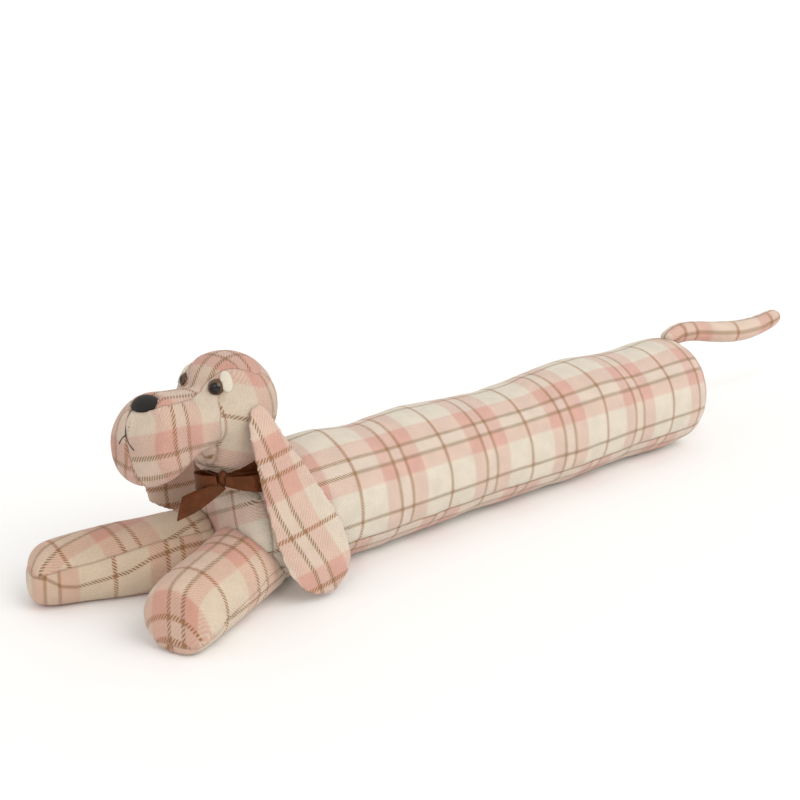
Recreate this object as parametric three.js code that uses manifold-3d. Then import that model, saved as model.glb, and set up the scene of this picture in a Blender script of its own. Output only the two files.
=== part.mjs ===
// A stuffed cloth draught excluder in the shape of a lying hound, as a three.js scene in millimetres.
// It lies along X with the head towards -X, the hound's left side towards -Y and the floor at z = 0.
// The origin is on the flat underside of the body, near the middle of its length.
import * as THREE from "three";
import { mergeVertices } from "three/addons/utils/BufferGeometryUtils.js";
import Module from "manifold-3d";

const wasm = await Module();
wasm.setup();

// Driving dimensions
const SEAM_GAP = 0.4; // between two sewn pieces, so that each stays a solid of its own
const FINEST_DETAIL = 0.04; // a cut's slivers under this are left out
const BODY_CHEST_X = -388;
const BODY_RUMP_X = 341;
const BODY_SETTLE = 3; // how far the filling lets the underside flatten on the floor
const LEG_SETTLE = 3;
const EAR_THICK = 8;
const EAR_TAPER = 12; // the ear thins out where its half width is under this
const NECK_RADIUS = 45;
const NECK_TOP = -12;
const NECK_LONG = 80;
const NECK_LEAN = 0.34;
const EYE_RADIUS = 6.6;
const RIBBON_WIDE = 20;
const RIBBON_THICK = 1.4;
const RIBBON_SLOPE = 10; // how much lower the band lies in front than at the sides
const RIBBON_HEIGHT = -55;
const BAND_SLACK = 0.06; // the angle left open between the band's two ends, behind the knot
const BAND_INSIDE = NECK_RADIUS + 0.6;
const KNOT_REACH = BAND_INSIDE + RIBBON_THICK + 5.4;
const BACK_END_REACH = BAND_INSIDE + RIBBON_THICK + 2;
const LOOP_REACH = BACK_END_REACH + 8.2;
const LOOP_START = 4.5; // round the neck from the knot's middle to where a loop comes out
const LOOP_SWELL = 4.5;
const FRONT_LOOP_LONG = 27;
const BACK_LOOP_LONG = 37;
const BACK_END_START = 4;
const BACK_END_LONG = 48;
const KNOT_ANGLE = THREE.MathUtils.degToRad(25); // round the neck from straight ahead to the hound's left

// How a stuffed piece closes at its ends: over which depth, over which share of the rings, how bluntly.
// A paw closes faster in height than in width, and its toe seam sinks towards the floor.
const BODY_END = { depth: 28, share: 0.12, bluntness: 0.7 };
const LEFT_PAW_END = { depth: 30, share: 0.27, bluntness: 0.5, lowering: 1.8, sink: 0.7 };
const RIGHT_PAW_END = { depth: 36, share: 0.27, bluntness: 0.66, lowering: 1.3, sink: 0.35 };
const NECK_END = { depth: 12, share: 0.2, bluntness: 0.8 };
const TAIL_END = { depth: 0.05, share: 0.16, bluntness: 0.9 };

// Rounded forms in the head's frame: half sizes, and where the middle is.
const SKULL = { ahead: 45, behind: 54, aside: 51, above: 55, below: 55 };
const NOSE = { ahead: 14, behind: 13, aside: 15.5, above: 12, below: 6 };
const KNOT = { ahead: 6, behind: 6, aside: 6, above: 9, below: 9 };
const EYE = { ahead: EYE_RADIUS, behind: EYE_RADIUS, aside: EYE_RADIUS, above: EYE_RADIUS, below: EYE_RADIUS };
const EYELID = { long: 12, wide: 6.5, thick: 2.6 };
const SKULL_PLACE = { forward: 0, left: 0, up: 0 };
const NOSE_PLACE = { forward: 100, left: 0, up: 27 };
const EYE_PLACE = { forward: 30, left: 22.5, up: 30 };
const EYELID_PLACE = { forward: 23, left: 30, up: 35 };
const EYELID_OUTWARD = { forward: 0.55, left: 0.62, up: 0.56 };
const EYELID_RISE = { forward: -3, left: -6, up: 20 };

// The head's own frame: its middle, its turn towards the hound's left and its lean to the right.
const HEAD_MIDDLE = new THREE.Vector3(-374, 0, 200);
const HEAD_TURN = THREE.MathUtils.degToRad(14);
const HEAD_LEAN = THREE.MathUtils.degToRad(-4);

// Tables. Each row is a section, and values between two rows follow a smooth curve.
const BODY_ROWS = [
  { x: -388, radius: 68, side: 0 },
  { x: -345, radius: 69.5, side: 0 },
  { x: -290, radius: 71.5, side: 0.5 },
  { x: -249, radius: 71.5, side: 0 },
  { x: -200, radius: 69.2, side: -0.8 },
  { x: -160, radius: 71.8, side: 0 },
  { x: -110, radius: 70.8, side: 0.8 },
  { x: -49, radius: 69.6, side: 0.6 },
  { x: 21, radius: 69.4, side: -0.6 },
  { x: 68, radius: 71, side: -0.8 },
  { x: 137, radius: 73, side: 0 },
  { x: 180, radius: 71.4, side: 0.6 },
  { x: 222, radius: 70.2, side: 0.4 },
  { x: 284, radius: 72.4, side: 0 },
  { x: 341, radius: 71, side: 0 },
];

const LEFT_LEG_ROWS = [
  { x: -340, y: -12, radius: 43 },
  { x: -385, y: -36, radius: 42 },
  { x: -425, y: -57, radius: 40.5 },
  { x: -461, y: -74, radius: 39.5 },
  { x: -483, y: -84.5, radius: 38 },
  { x: -497, y: -91, radius: 36.5 },
];

const RIGHT_LEG_ROWS = [
  { x: -366, y: 27, radius: 40 },
  { x: -400, y: 38, radius: 39.5 },
  { x: -440, y: 51, radius: 38 },
  { x: -490, y: 68, radius: 36.5 },
  { x: -530, y: 81, radius: 35 },
  { x: -563, y: 91.5, radius: 32.5 },
];

// Along the muzzle: forward of the head's middle, half its width, and its top and bottom.
const MUZZLE_ROWS = [
  { along: 0, forward: 4, half: 0, top: 0, bottom: 0 },
  { along: 0.1, forward: 14, half: 28, top: 20, bottom: -20 },
  { along: 0.22, forward: 36, half: 38, top: 27, bottom: -26 },
  { along: 0.36, forward: 56, half: 39.5, top: 30, bottom: -29 },
  { along: 0.5, forward: 74, half: 40, top: 33, bottom: -33 },
  { along: 0.62, forward: 89, half: 40.5, top: 36.5, bottom: -42 },
  { along: 0.72, forward: 100, half: 40.5, top: 37, bottom: -46.5 },
  { along: 0.8, forward: 109, half: 39.5, top: 31.5, bottom: -47.5 },
  { along: 0.88, forward: 118, half: 36, top: 22, bottom: -46.5 },
  { along: 0.95, forward: 125.5, half: 26, top: 9, bottom: -38 },
  { along: 1, forward: 128, half: 0, top: -11, bottom: -11 },
];

const LEFT_EAR_ROWS = [
  { along: 0, x: -367, y: -45, z: 217, half: 0 },
  { along: 0.06, x: -368, y: -52, z: 208, half: 10 },
  { along: 0.15, x: -368, y: -60, z: 192, half: 17 },
  { along: 0.3, x: -361, y: -68, z: 163, half: 23 },
  { along: 0.46, x: -350, y: -76, z: 127, half: 32 },
  { along: 0.6, x: -339, y: -81, z: 94, half: 38 },
  { along: 0.74, x: -327, y: -85, z: 62, half: 41 },
  { along: 0.86, x: -317, y: -89, z: 36, half: 37 },
  { along: 0.95, x: -310, y: -92, z: 16, half: 24 },
  { along: 1, x: -307, y: -94, z: 6, half: 0 },
];

const RIGHT_EAR_ROWS = [
  { along: 0, x: -386, y: 42, z: 211, half: 0 },
  { along: 0.06, x: -386, y: 50, z: 203, half: 9 },
  { along: 0.16, x: -386, y: 60, z: 186, half: 16 },
  { along: 0.32, x: -385, y: 72, z: 160, half: 24 },
  { along: 0.5, x: -385, y: 80, z: 132, half: 32 },
  { along: 0.66, x: -386, y: 83, z: 108, half: 36 },
  { along: 0.82, x: -389, y: 81, z: 86, half: 34 },
  { along: 0.93, x: -392, y: 77, z: 73, half: 24 },
  { along: 1, x: -394, y: 74, z: 67, half: 0 },
];

const TAIL_ROWS = [
  { along: 0, x: 312, y: 0, z: 134, radius: 9 },
  { along: 0.12, x: 334, y: -1, z: 143, radius: 9.5 },
  { along: 0.3, x: 366, y: -5, z: 143, radius: 10 },
  { along: 0.5, x: 402, y: -12, z: 137, radius: 11 },
  { along: 0.68, x: 444, y: -19, z: 132, radius: 11.5 },
  { along: 0.84, x: 484, y: -23, z: 133, radius: 10.5 },
  { along: 1, x: 527, y: -26, z: 142, radius: 8 },
];

// The ribbon's front end, in the head's frame, from the knot outwards.
const FRONT_END_ROWS = [
  { along: 0, forward: 35, left: 24, up: -70 },
  { along: 0.3, forward: 49, left: 16, up: -77 },
  { along: 0.65, forward: 61, left: 6, up: -83 },
  { along: 1, forward: 72, left: -3, up: -88 },
];

const cloth = (color) => new THREE.MeshStandardMaterial({ color, roughness: 0.95, metalness: 0 });
const PLAID = cloth("#dcc6b6");
const CREAM = cloth("#ded6c6");
const BLACK = cloth("#26221e");
const SATIN = new THREE.MeshStandardMaterial({ color: "#552a16", roughness: 0.45, metalness: 0 });
const GLASS = new THREE.MeshStandardMaterial({ color: "#3a2415", roughness: 0.12, metalness: 0 });

// Reads a table of rows as smooth curves over its first column.
function smoothRows(rows) {
  const [key, ...columns] = Object.keys(rows[0]);
  const samples = rows.flatMap((row) => columns.map((name) => row[name]));
  const places = rows.map((row) => row[key]);
  const curve = new THREE.CubicInterpolant(places, samples, columns.length, []);
  return (at) => {
    const values = curve.evaluate(THREE.MathUtils.clamp(at, places[0], places.at(-1)));
    return Object.fromEntries(columns.map((name, i) => [name, values[i]]));
  };
}

function welded(geometry) {
  geometry.deleteAttribute("normal");
  geometry.deleteAttribute("uv");
  return mergeVertices(geometry, 1e-3);
}

// A closed soft form: rings of points from one pole to the other, each point where place() says.
function softForm(sides, rings, place) {
  const geometry = new THREE.SphereGeometry(1, sides, rings);
  const { position, uv } = geometry.attributes;
  for (let i = 0; i < position.count; i += 1) {
    const point = place(1 - uv.getY(i), (uv.getX(i) % 1) * 2 * Math.PI);
    position.setXYZ(i, point.x, point.y, point.z);
  }
  return welded(geometry);
}

// A closed strip: along runs from 0 to 1, across and out from -0.5 to 0.5.
function bentStrip(steps, place) {
  const geometry = new THREE.BoxGeometry(1, 1, 1, steps, 2, 1);
  const { position } = geometry.attributes;
  for (let i = 0; i < position.count; i += 1) {
    const point = place(position.getX(i) + 0.5, position.getY(i), position.getZ(i));
    position.setXYZ(i, point.x, point.y, point.z);
  }
  return welded(geometry);
}

// A run with a rounded end at each side: the place along it and the share of its full girth there.
function roundedRun(along, length, end) {
  const turn = (share) => (share / end.share) * (Math.PI / 2);
  const depth = (share) => end.depth * (1 - Math.cos(turn(share)) ** end.bluntness);
  const girth = (share) => Math.sin(turn(share)) ** end.bluntness;
  if (along < end.share) return { at: depth(along), girth: girth(along) };
  if (along > 1 - end.share) return { at: length - depth(1 - along), girth: girth(1 - along) };
  const middle = (along - end.share) / (1 - 2 * end.share);
  return { at: end.depth + middle * (length - 2 * end.depth), girth: 1 };
}

// The body tube: a round section that sags a little on the floor, with a domed chest and rump.
function bodyForm(grow) {
  const read = smoothRows(BODY_ROWS);
  const length = BODY_RUMP_X - BODY_CHEST_X + 2 * grow;
  return softForm(32, 42, (along, angle) => {
    const run = roundedRun(along, length, BODY_END);
    const x = BODY_CHEST_X - grow + run.at;
    const { radius, side } = read(x);
    const reach = (radius + grow) * run.girth;
    const z = radius - BODY_SETTLE + reach * Math.sin(angle);
    return new THREE.Vector3(x, side - reach * Math.cos(angle), Math.max(z, -grow));
  });
}

// A leg: a stuffed sleeve with a rounded paw, flat where it lies on the floor.
function legForm(rows, end, grow) {
  const keyed = rows.map((row, i) => ({ along: i / (rows.length - 1), ...row }));
  const read = smoothRows(keyed);
  const first = rows[0];
  const last = rows.at(-1);
  const length = Math.hypot(last.x - first.x, last.y - first.y) + 2 * grow;
  const ahead = new THREE.Vector3(last.x - first.x, last.y - first.y, 0).normalize();
  const aside = new THREE.Vector3(-ahead.y, ahead.x, 0);
  return softForm(24, 22, (along, angle) => {
    const run = roundedRun(1 - along, length, end);
    const { x, y, radius } = read(run.at / length);
    const closing = run.girth ** end.lowering;
    const middle = (radius - LEG_SETTLE) * (1 - end.sink * (1 - closing));
    const z = middle + (radius + grow) * closing * Math.sin(angle);
    const reach = (radius + grow) * run.girth;
    return new THREE.Vector3(x, y, Math.max(z, -grow)).addScaledVector(aside, reach * Math.cos(angle));
  });
}

// An ear: two layers sewn round their edge, hanging with its broad end lowest.
function earForm(rows, outward) {
  const read = smoothRows(rows);
  const across = new THREE.Vector3(outward, 0, 0);
  return softForm(16, 22, (along, angle) => {
    const here = read(along);
    const next = read(Math.min(along + 0.01, 1));
    const last = read(Math.max(along - 0.01, 0));
    const down = new THREE.Vector3(next.x - last.x, next.y - last.y, next.z - last.z).normalize();
    const wide = across.clone().addScaledVector(down, -across.dot(down)).normalize();
    const out = new THREE.Vector3().crossVectors(down, wide);
    const thick = EAR_THICK * Math.min(1, here.half / EAR_TAPER);
    return new THREE.Vector3(here.x, here.y, here.z)
      .addScaledVector(wide, Math.cos(angle) * here.half)
      .addScaledVector(out, -Math.sin(angle) * thick / 2);
  });
}

function tailForm() {
  const read = smoothRows(TAIL_ROWS);
  const up = new THREE.Vector3(0, 0, 1);
  return softForm(12, 20, (along, angle) => {
    const run = roundedRun(along, 1, TAIL_END);
    const here = read(run.at);
    const next = read(Math.min(run.at + 0.01, 1));
    const last = read(Math.max(run.at - 0.01, 0));
    const ahead = new THREE.Vector3(next.x - last.x, next.y - last.y, next.z - last.z).normalize();
    const aside = new THREE.Vector3().crossVectors(ahead, up).normalize();
    const above = new THREE.Vector3().crossVectors(aside, ahead);
    const reach = here.radius * run.girth;
    return new THREE.Vector3(here.x, here.y, here.z)
      .addScaledVector(aside, reach * Math.cos(angle))
      .addScaledVector(above, reach * Math.sin(angle));
  });
}

// In the head's frame, forward is -X and the hound's left is -Y.
const headPoint = (forward, left, up) => new THREE.Vector3(-forward, -left, up);

// An egg or lens: reach gives its size ahead, behind, to each side, above and below its middle.
function eggForm(sides, rings, middle, reach, grow) {
  return softForm(sides, rings, (along, angle) => {
    const polar = along * Math.PI;
    const ahead = Math.cos(polar);
    const aside = Math.sin(polar) * Math.cos(angle);
    const rise = Math.sin(polar) * Math.sin(angle);
    return headPoint(
      middle.forward + ahead * ((ahead > 0 ? reach.ahead : reach.behind) + grow),
      middle.left + aside * (reach.aside + grow),
      middle.up + rise * ((rise > 0 ? reach.above : reach.below) + grow),
    );
  });
}

function muzzleForm() {
  const read = smoothRows(MUZZLE_ROWS);
  return softForm(28, 22, (along, angle) => {
    const { forward, half, top, bottom } = read(1 - along);
    const rise = Math.sin(angle);
    const pear = 1 - 0.3 * Math.max(0, rise) ** 2 + 0.05 * Math.max(0, -rise);
    const side = Math.sign(Math.cos(angle)) * Math.abs(Math.cos(angle)) ** 0.85;
    const lift = Math.sign(rise) * Math.abs(rise) ** 0.85;
    return headPoint(forward, half * pear * side, (top + bottom) / 2 + ((top - bottom) / 2) * lift);
  });
}

// The neck leans back from under the skull into the top of the chest.
const neckMiddle = (up) => (up + 20) * NECK_LEAN;

function neckForm() {
  return softForm(28, 9, (along, angle) => {
    const run = roundedRun(along, NECK_LONG, NECK_END);
    const up = NECK_TOP - run.at;
    const reach = NECK_RADIUS * run.girth;
    return headPoint(neckMiddle(up) + reach * Math.cos(angle), reach * Math.sin(angle), up);
  });
}

// A petal of cloth sewn round the outer side of an eye. side is 1 for the left eye, -1 for the right.
function eyelidForm(side, grow) {
  const onSide = ({ forward, left, up }) => headPoint(forward, side * left, up);
  const middle = onSide(EYELID_PLACE);
  const out = onSide(EYELID_OUTWARD).normalize();
  const long = onSide(EYELID_RISE);
  long.addScaledVector(out, -long.dot(out)).normalize();
  const wide = new THREE.Vector3().crossVectors(long, out);
  return softForm(14, 8, (along, angle) => {
    const polar = along * Math.PI;
    return middle.clone()
      .addScaledVector(long, Math.cos(polar) * (EYELID.long + grow))
      .addScaledVector(out, Math.sin(polar) * Math.cos(angle) * (EYELID.thick + grow))
      .addScaledVector(wide, Math.sin(polar) * Math.sin(angle) * (EYELID.wide + grow));
  });
}

// The ribbon lies round the neck on a slope. turn goes from straight ahead to the left.
const bandHeight = (turn) => RIBBON_HEIGHT - RIBBON_SLOPE * Math.cos(turn);
const knotHeight = bandHeight(KNOT_ANGLE);

function roundNeck(turn, reach, up) {
  const forward = neckMiddle(bandHeight(turn)) + reach * Math.cos(turn);
  return headPoint(forward, reach * Math.sin(turn), up);
}

function bandForm(grow) {
  return bentStrip(36, (along, across, out) => {
    const turn = KNOT_ANGLE + BAND_SLACK + along * 2 * (Math.PI - BAND_SLACK);
    const reach = BAND_INSIDE + (out + 0.5) * RIBBON_THICK + Math.sign(out) * grow;
    return roundNeck(turn, reach, bandHeight(turn) + across * (RIBBON_WIDE + 2 * grow));
  });
}

// A strip of ribbon: along a path, its broad side facing one way, narrower at the knot, its end cut aslant.
function ribbonAlong(steps, strip, grow) {
  const { path, facing, widthAt, slant } = strip;
  return bentStrip(steps, (along, across, out) => {
    const ahead = path(along + 0.01).sub(path(along - 0.01)).normalize();
    const broad = facing(ahead);
    const over = new THREE.Vector3().crossVectors(broad, ahead).normalize();
    return path(along)
      .addScaledVector(ahead, slant * across * along)
      .addScaledVector(over, across * (widthAt(along) + 2 * grow))
      .addScaledVector(broad, out * (RIBBON_THICK + 2 * grow));
  });
}

const upright = (ahead, way) => new THREE.Vector3(0, 0, way).cross(ahead);

// A loop of the bow. way is -1 for the front one and 1 for the one behind the knot.
function loopForm(way, length, grow) {
  const path = (along) => {
    const turn = Math.PI * THREE.MathUtils.clamp(along, 0, 1);
    const arc = LOOP_START + length * Math.sin(turn) ** 0.9;
    const reach = LOOP_REACH + LOOP_SWELL * Math.sin(2 * turn) + 1.5 * Math.cos(turn);
    return roundNeck(KNOT_ANGLE + (way * arc) / LOOP_REACH, reach, knotHeight - 0.12 * arc);
  };
  const facing = (ahead) => upright(ahead, way);
  const widthAt = (along) => 11 + 9 * Math.sin(Math.PI * along);
  return ribbonAlong(20, { path, facing, widthAt, slant: 0 }, grow);
}

// The ribbon's front end springs free of the neck.
function frontEndForm() {
  const read = smoothRows(FRONT_END_ROWS);
  const path = (along) => {
    const { forward, left, up } = read(along);
    return headPoint(forward, left, up);
  };
  const outward = headPoint(0.7, 0.62, 0.36);
  const facing = (ahead) => outward.clone().addScaledVector(ahead, -outward.dot(ahead)).normalize();
  const widthAt = (along) => 9 + 11 * Math.min(1, 1.7 * along);
  return ribbonAlong(8, { path, facing, widthAt, slant: 15 }, 0);
}

// The back end lies round the neck under the back loop.
function backEndForm() {
  const path = (along) => {
    const arc = BACK_END_START + BACK_END_LONG * along;
    return roundNeck(KNOT_ANGLE + arc / BACK_END_REACH, BACK_END_REACH, knotHeight - 0.16 * arc);
  };
  const facing = (ahead) => upright(ahead, 1);
  const widthAt = (along) => 12 + 6 * Math.min(1, 2 * along);
  return ribbonAlong(8, { path, facing, widthAt, slant: -8 }, 0);
}

const part = new THREE.Group();
const head = new THREE.Group();
head.position.copy(HEAD_MIDDLE);
head.rotation.set(HEAD_LEAN, 0, HEAD_TURN, "ZYX");
part.add(head);
part.updateMatrixWorld(true);

function solidOf(geometry) {
  return new wasm.Manifold(
    new wasm.Mesh({
      numProp: 3,
      vertProperties: new Float32Array(geometry.attributes.position.array),
      triVerts: new Uint32Array(geometry.index.array),
    }),
  );
}

function geometryOf(solid) {
  const mesh = solid.getMesh();
  return new THREE.BufferGeometry()
    .setAttribute("position", new THREE.BufferAttribute(mesh.vertProperties, 3))
    .setIndex(new THREE.BufferAttribute(mesh.triVerts, 1));
}

function add(group, name, geometry, material) {
  const mesh = new THREE.Mesh(geometry, material);
  mesh.name = name;
  group.add(mesh);
}

// A piece less all that its neighbours take up.
function cutBack(geometry, cutters) {
  const cut = cutters.reduce((solid, cutter) => solid.subtract(cutter), solidOf(geometry));
  return geometryOf(cut.simplify(FINEST_DETAIL));
}

const knotPoint = roundNeck(KNOT_ANGLE, KNOT_REACH, knotHeight);
const knotPlace = { forward: -knotPoint.x, left: -knotPoint.y, up: knotPoint.z };
const eyePlace = (side) => ({ ...EYE_PLACE, left: side * EYE_PLACE.left });

const skullForm = (grow) => eggForm(28, 18, SKULL_PLACE, SKULL, grow);
const noseForm = (grow) => eggForm(18, 10, NOSE_PLACE, NOSE, grow);
const eyeForm = (side, grow) => eggForm(16, 8, eyePlace(side), EYE, grow);
const knotForm = (grow) => eggForm(12, 8, knotPlace, KNOT, grow);
const leftLegForm = (grow) => legForm(LEFT_LEG_ROWS, LEFT_PAW_END, grow);
const rightLegForm = (grow) => legForm(RIGHT_LEG_ROWS, RIGHT_PAW_END, grow);

const intoHead = head.matrixWorld.clone().invert();
const bodyCutter = solidOf(bodyForm(SEAM_GAP));
const leftLegCutter = solidOf(leftLegForm(SEAM_GAP));
const skullCutter = solidOf(skullForm(SEAM_GAP).applyMatrix4(head.matrixWorld));
const bodyInHead = solidOf(bodyForm(SEAM_GAP).applyMatrix4(intoHead));
const knotCutter = solidOf(knotForm(SEAM_GAP));
const frontLoopCutter = solidOf(loopForm(-1, FRONT_LOOP_LONG, SEAM_GAP));

add(part, "body_tube", bodyForm(0), PLAID);
add(part, "leg_left", cutBack(leftLegForm(0), [bodyCutter]), PLAID);
add(part, "leg_right", cutBack(rightLegForm(0), [bodyCutter, leftLegCutter]), PLAID);
add(part, "tail", cutBack(tailForm(), [bodyCutter]), PLAID);
add(part, "ear_left", cutBack(earForm(LEFT_EAR_ROWS, 1), [skullCutter]), PLAID);
add(part, "ear_right", cutBack(earForm(RIGHT_EAR_ROWS, -1), [skullCutter]), PLAID);

const headSeats = [bodyInHead, solidOf(bandForm(SEAM_GAP)), solidOf(noseForm(SEAM_GAP))];
for (const side of [1, -1]) {
  headSeats.push(solidOf(eyeForm(side, SEAM_GAP)));
  headSeats.push(solidOf(eyelidForm(side, SEAM_GAP)));
}
const headLobes = solidOf(skullForm(0)).add(solidOf(muzzleForm())).add(solidOf(neckForm()));
add(head, "head", cutBack(geometryOf(headLobes), headSeats), PLAID);
add(head, "nose", noseForm(0), BLACK);
for (const [name, side] of [["left", 1], ["right", -1]]) {
  add(head, `eye_${name}`, eyeForm(side, 0), GLASS);
  const eyeCutter = solidOf(eyeForm(side, SEAM_GAP));
  add(head, `eyelid_${name}`, cutBack(eyelidForm(side, 0), [eyeCutter]), CREAM);
}

add(head, "ribbon_band", bandForm(0), SATIN);
add(head, "ribbon_knot", knotForm(0), SATIN);
add(head, "ribbon_loop_front", cutBack(loopForm(-1, FRONT_LOOP_LONG, 0), [knotCutter]), SATIN);
add(head, "ribbon_loop_back", cutBack(loopForm(1, BACK_LOOP_LONG, 0), [knotCutter]), SATIN);
add(head, "ribbon_end_front", cutBack(frontEndForm(), [knotCutter, frontLoopCutter]), SATIN);
add(head, "ribbon_end_back", cutBack(backEndForm(), [knotCutter]), SATIN);

export default part;
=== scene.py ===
import math

import bmesh
import bpy
import numpy as np
from mathutils import Euler, Matrix, Vector, noise
from mathutils.bvhtree import BVHTree


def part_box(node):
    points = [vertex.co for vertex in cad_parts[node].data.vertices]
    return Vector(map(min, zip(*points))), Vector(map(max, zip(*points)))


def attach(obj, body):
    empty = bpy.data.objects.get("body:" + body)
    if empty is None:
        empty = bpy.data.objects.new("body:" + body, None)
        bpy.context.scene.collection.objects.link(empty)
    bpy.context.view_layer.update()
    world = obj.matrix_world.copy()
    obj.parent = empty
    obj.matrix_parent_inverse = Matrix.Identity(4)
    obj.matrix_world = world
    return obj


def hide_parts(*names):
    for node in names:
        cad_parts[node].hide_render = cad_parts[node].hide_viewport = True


# Looks of a stuffed cloth draught excluder in the shape of a lying hound.
# The cloth's patterns are worked out in millimetres, and every mesh is in metres.
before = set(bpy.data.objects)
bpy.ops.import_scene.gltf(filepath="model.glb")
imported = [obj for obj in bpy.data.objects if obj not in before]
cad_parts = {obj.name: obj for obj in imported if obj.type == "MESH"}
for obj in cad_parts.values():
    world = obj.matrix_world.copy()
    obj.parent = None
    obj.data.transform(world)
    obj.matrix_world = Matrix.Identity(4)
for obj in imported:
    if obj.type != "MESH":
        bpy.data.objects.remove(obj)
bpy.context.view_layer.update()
MM = 0.001

# The check: one repeat, counted from a single brown line that lies in the middle of a cream band.
REPEAT = 126.9
LINE_HALF = 2.1
PINK_FROM = 35.5
PINK_TO = REPEAT - PINK_FROM
PAIR_NEAR = 54.0
PAIR_FAR = 70.1
PAIR_MIDDLE = (PAIR_NEAR + PAIR_FAR) / 2
RIB = 3.4
BAND_BLUR = 1.1
LINE_BLUR = 0.7

CREAM = (0.73, 0.66, 0.535)
PALE_PINK = (0.70, 0.53, 0.44)
PINK = (0.67, 0.39, 0.315)
RING_BROWN = (0.35, 0.165, 0.058)
LENGTH_BROWN = (0.29, 0.18, 0.08)
# The warm brown of the painted shade in the seams' grooves.
SEAM_SHADE = (0.30, 0.17, 0.11)
SATIN_BROWN = (0.105, 0.027, 0.007)
CREAM_SHADE = (0.6, 0.55, 0.45)
PLUSH_BLACK = (0.018, 0.015, 0.012)
PLUSH_SHADE = (0.006, 0.005, 0.004)
THREAD_BLACK = (0.02, 0.016, 0.014)
PUPIL_BLACK = (0.004, 0.003, 0.003)
IRIS_BROWN = (0.19, 0.08, 0.028)

# The head's own frame, in millimetres: its middle, its turn to the hound's left and its lean.
HEAD_MIDDLE = np.array((-374.0, 0.0, 200.0))
HEAD_TURN = math.radians(14)
HEAD_LEAN = math.radians(-4)
HEAD_AXES = np.array(Euler((HEAD_LEAN, 0, HEAD_TURN), "XYZ").to_matrix())
NECK_LEAN = 0.34

CAMERA_PLACE = (-0.99146, -1.04344, 0.62850)
CAMERA_AIM = (-0.146, 0.0, 0.155)
CAMERA_LENS = 56.83


def link(name, mesh):
    piece = bpy.data.objects.new(name, mesh)
    bpy.context.scene.collection.objects.link(piece)
    return piece


def points_of(mesh):
    values = np.empty(len(mesh.vertices) * 3, np.float32)
    mesh.vertices.foreach_get("co", values)
    return values.reshape(-1, 3).astype(float) / MM


def set_points(mesh, points):
    mesh.vertices.foreach_set("co", (points * MM).astype(np.float32).ravel())
    mesh.update()


def normals_of(mesh):
    values = np.empty(len(mesh.vertices) * 3, np.float32)
    mesh.vertex_normals.foreach_get("vector", values)
    return values.reshape(-1, 3).astype(float)


def merged_copy(node):
    """A node's mesh with its loose triangles joined."""
    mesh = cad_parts[node].data.copy()
    mesh.materials.clear()
    bm = bmesh.new()
    bm.from_mesh(mesh)
    bmesh.ops.remove_doubles(bm, verts=bm.verts, dist=0.02 * MM)
    bm.to_mesh(mesh)
    bm.free()
    return mesh


def apply_modifiers(piece):
    graph = bpy.context.evaluated_depsgraph_get()
    made = bpy.data.meshes.new_from_object(piece.evaluated_get(graph))
    piece.modifiers.clear()
    piece.data = made


def remesh(piece, voxel):
    """Rebuilds the piece with even faces. The voxel is in millimetres."""
    modifier = piece.modifiers.new("even_mesh", "REMESH")
    modifier.mode = "VOXEL"
    modifier.voxel_size = voxel * MM
    apply_modifiers(piece)


def relax(piece, rounds):
    """Smooths the voxels' steps away."""
    bm = bmesh.new()
    bm.from_mesh(piece.data)
    for _ in range(rounds):
        bmesh.ops.smooth_vert(bm, verts=bm.verts, factor=0.5,
                              use_axis_x=True, use_axis_y=True, use_axis_z=True)
    bm.to_mesh(piece.data)
    bm.free()


def subdivide(piece):
    modifier = piece.modifiers.new("fine_mesh", "SUBSURF")
    modifier.levels = 1
    modifier.render_levels = 1
    apply_modifiers(piece)


def shade_smooth(piece):
    piece.data.polygons.foreach_set("use_smooth", [True] * len(piece.data.polygons))


# The cloth of each stuffed piece, in millimetres. Each function says where every point lies on each
# panel's cloth, and how far inside each panel after the first it is. A later panel lies over the
# earlier ones.


def blend_step(value, low, high):
    share = np.clip((value - low) / (high - low), 0, 1)
    return share * share * (3 - 2 * share)


TUBE_RADIUS = 70.5
TUBE_MIDDLE = 68
TUBE_TURN = math.radians(6.1)
END_RADIUS = 69
END_CURVE = (310, 335)
UNDERSIDE_HALF = math.radians(63.7)
STRIP_SHIFT = (10, 33)
RUMP_DISC = 57
RUMP_FROM = 300
RUMP_SHIFT = (30, -40)
CHEST_FROM = -366
CHEST_TILT = 0.894
CHEST_SHIFT = (59, 84.9)


def body_cloth(points, _):
    """The tube's upper sheet, the strip under it, and the ends: the rump's disc and the chest."""
    x, y, z = points.T
    height = z - TUBE_MIDDLE
    girth = np.hypot(y, height)
    around = TUBE_RADIUS * (np.arctan2(height, -y) + TUBE_TURN)
    over_end = np.clip(END_RADIUS - girth, 0, None)
    length = x + np.where(x > 0, over_end, -over_end) * blend_step(np.abs(x), *END_CURVE)
    strip = (length + STRIP_SHIFT[0] + PAIR_MIDDLE, around + STRIP_SHIFT[1] + PAIR_MIDDLE)
    rump = (y + RUMP_SHIFT[0], z + RUMP_SHIFT[1])
    chest = (CHEST_SHIFT[0] - CHEST_TILT * (y - z / 2),
             CHEST_TILT * (z + y / 2) - CHEST_SHIFT[1] + PAIR_MIDDLE)
    ends = tuple(np.where(x > 0, behind, front) for behind, front in zip(rump, chest))
    from_below = np.arccos(np.clip(-height / np.maximum(girth, 1), -1, 1))
    strip_edge = TUBE_RADIUS * (UNDERSIDE_HALF - from_below)
    end_edge = np.where(x > 0, np.minimum(RUMP_DISC - girth, x - RUMP_FROM), CHEST_FROM - x)
    return [(length, around), strip, ends], [strip_edge, end_edge]


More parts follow.
